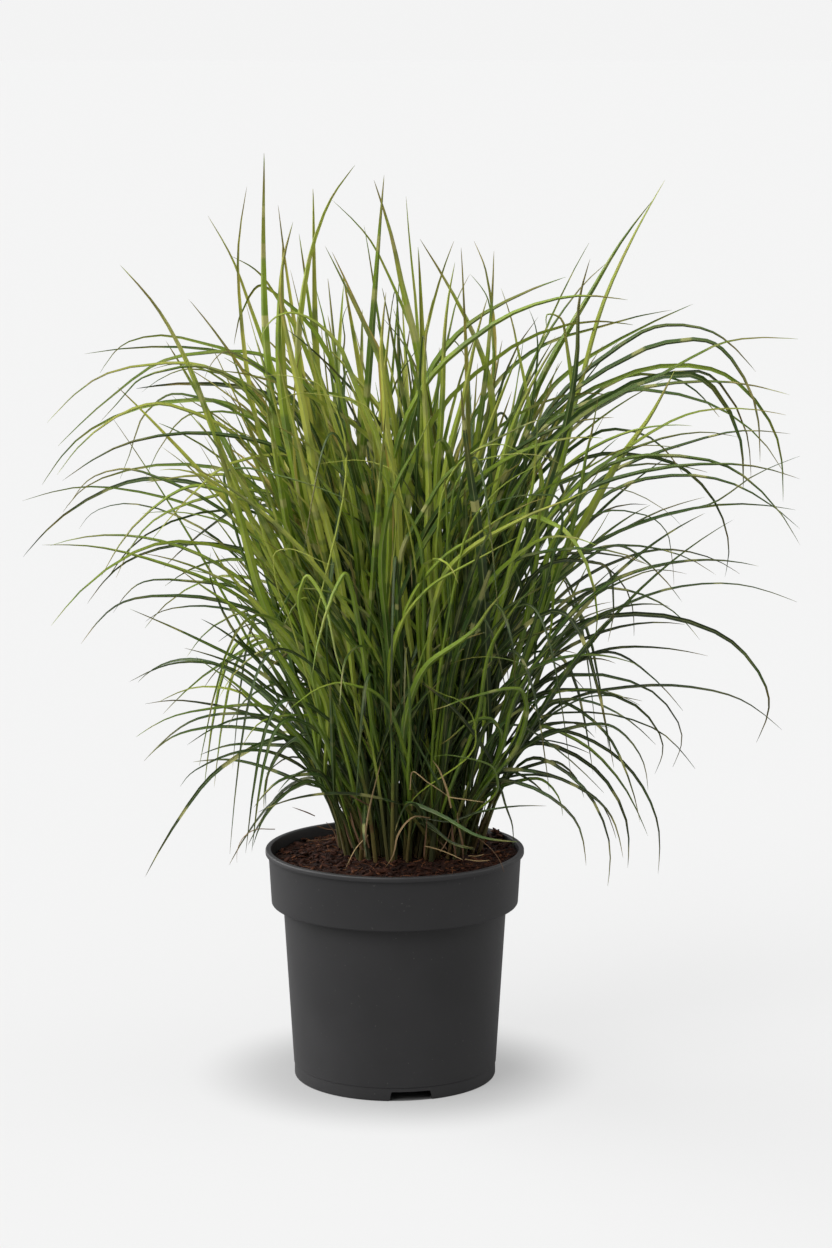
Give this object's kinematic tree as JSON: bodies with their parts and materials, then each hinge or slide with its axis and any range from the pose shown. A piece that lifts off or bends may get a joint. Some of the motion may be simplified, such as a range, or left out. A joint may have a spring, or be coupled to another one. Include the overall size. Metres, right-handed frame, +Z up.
{
  "type": "potted ornamental grass clump",
  "caption": "Arching ornamental grass clump in a round tapered nursery pot with a wide collar, filled with potting mix; stands on the pot's foot ring.",
  "frame": {"origin": "the middle of the pot's foot ring, on the ground; it is within 7 mm of the middle of the whole plant's box", "axes": "+Z up along the pot's axis; -Y is the front, the side that the picture shows"},
  "size_m": [0.7099, 0.5594, 0.8563],
  "materials": {
    "pot_plastic": "matt moulded",
    "potting_mix": "loose and fibrous",
    "grass_leaf": "satin leaf"
  },
  "bodies": {
    "root": {"pot": "pot_plastic", "soil": "potting_mix", "shoot_tall_wide": "grass_leaf", "shoot_top_left_tip": "grass_leaf", "shoot_left_high_wide": "grass_leaf", "shoot_left_high_front": "grass_leaf", "shoot_middle_curved": "grass_leaf", "shoot_middle_thin": "grass_leaf", "shoot_middle_tall": "grass_leaf", "shoot_top_right_short": "grass_leaf", "shoot_top_right_back": "grass_leaf", "shoot_top_right_front": "grass_leaf", "shoot_right_olive": "grass_leaf", "shoot_right_tall": "grass_leaf", "shoot_right_dark": "grass_leaf", "shoot_right_arch_long": "grass_leaf", "shoot_right_arch_y": "grass_leaf", "shoot_right_arch_z": "grass_leaf", "shoot_right_arch_far": "grass_leaf", "shoot_right_arch_b": "grass_leaf", "shoot_right_arch_c": "grass_leaf", "shoot_right_bright": "grass_leaf", "shoot_right_arch_f": "grass_leaf", "shoot_right_arch_h": "grass_leaf", "shoot_right_arch_k": "grass_leaf", "shoot_right_low_o": "grass_leaf", "shoot_right_long_thin": "grass_leaf", "shoot_right_big_droop": "grass_leaf", "shoot_right_low_y": "grass_leaf", "shoot_right_long_low": "grass_leaf", "shoot_right_kink": "grass_leaf", "shoot_right_lowest": "grass_leaf", "shoot_right_foot": "grass_leaf", "shoot_front_over_rim": "grass_leaf", "shoot_left_arch_high": "grass_leaf", "shoot_left_arch_a": "grass_leaf", "shoot_left_arch_b": "grass_leaf", "shoot_left_arch_c": "grass_leaf", "shoot_left_arch_far": "grass_leaf", "shoot_left_arch_d": "grass_leaf", "shoot_left_low_e": "grass_leaf", "shoot_left_low_f": "grass_leaf", "shoot_left_low_g": "grass_leaf", "shoot_left_low_h": "grass_leaf", "shoot_left_lowest": "grass_leaf", "shoot_left_foot": "grass_leaf", "shoot_front_low_right": "grass_leaf", "shoot_front_mid_right": "grass_leaf", "shoot_front_middle": "grass_leaf", "shoot_front_mid_left": "grass_leaf", "shoot_front_low_left": "grass_leaf", "shoot_front_high": "grass_leaf", "shoot_back_low_right": "grass_leaf", "shoot_back_mid_right": "grass_leaf", "shoot_back_middle": "grass_leaf", "shoot_back_mid_left": "grass_leaf", "shoot_back_low_left": "grass_leaf", "shoot_back_high": "grass_leaf"}
  },
  "joints": []
}
